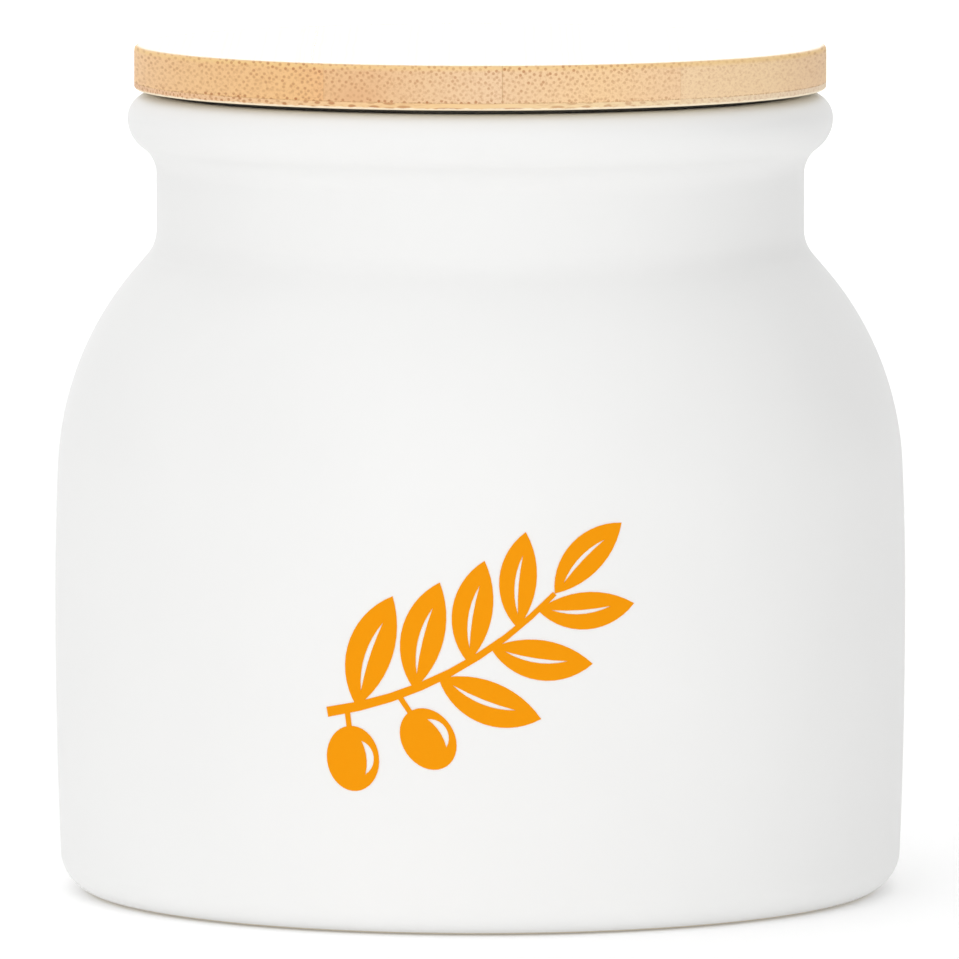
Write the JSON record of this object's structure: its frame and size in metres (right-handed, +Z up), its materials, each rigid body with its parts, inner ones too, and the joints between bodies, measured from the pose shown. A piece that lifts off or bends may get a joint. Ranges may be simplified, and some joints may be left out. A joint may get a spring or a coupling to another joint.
{
  "type": "olive jar",
  "caption": "Round white stoneware jar with a full shoulder, straight neck and rolled rim, a printed olive sprig, and a lift-off laminated bamboo lid with a silicone seal.",
  "frame": {"origin": "on the jar's axis, at the plane of the foot ring that it stands on", "axes": "+Z up along the jar's axis, -Y towards the printed front, +X to the right as seen from the front"},
  "size_m": [0.1302, 0.1303, 0.1295],
  "materials": {
    "stoneware": "white satin glaze, unglazed foot ring",
    "print": "flat fired orange print",
    "bamboo_golden": "satin lacquered bamboo",
    "bamboo_brown": "satin lacquered bamboo",
    "bamboo_pale": "satin lacquered bamboo",
    "bamboo_plain": "satin lacquered bamboo",
    "bamboo_cross": "bamboo, grain across the lid",
    "silicone": "translucent white silicone"
  },
  "bodies": {
    "jar": {"jar_body": "stoneware", "front_print": "print"},
    "lid": {"lid_top_slat_1": "bamboo_golden", "lid_top_slat_2": "bamboo_brown", "lid_top_slat_3": "bamboo_pale", "lid_top_slat_4": "bamboo_plain", "lid_cross_ply": "bamboo_cross", "plug_slat_1": "bamboo_pale", "plug_slat_2": "bamboo_golden", "plug_slat_3": "bamboo_plain", "plug_slat_4": "bamboo_brown", "seal_ring": "silicone"}
  },
  "joints": [
    {"name": "lid_lift", "type": "slide", "parent": "jar", "child": "lid", "axis": [0, 0, 1], "range_m": [0, 0.08]}
  ]
}
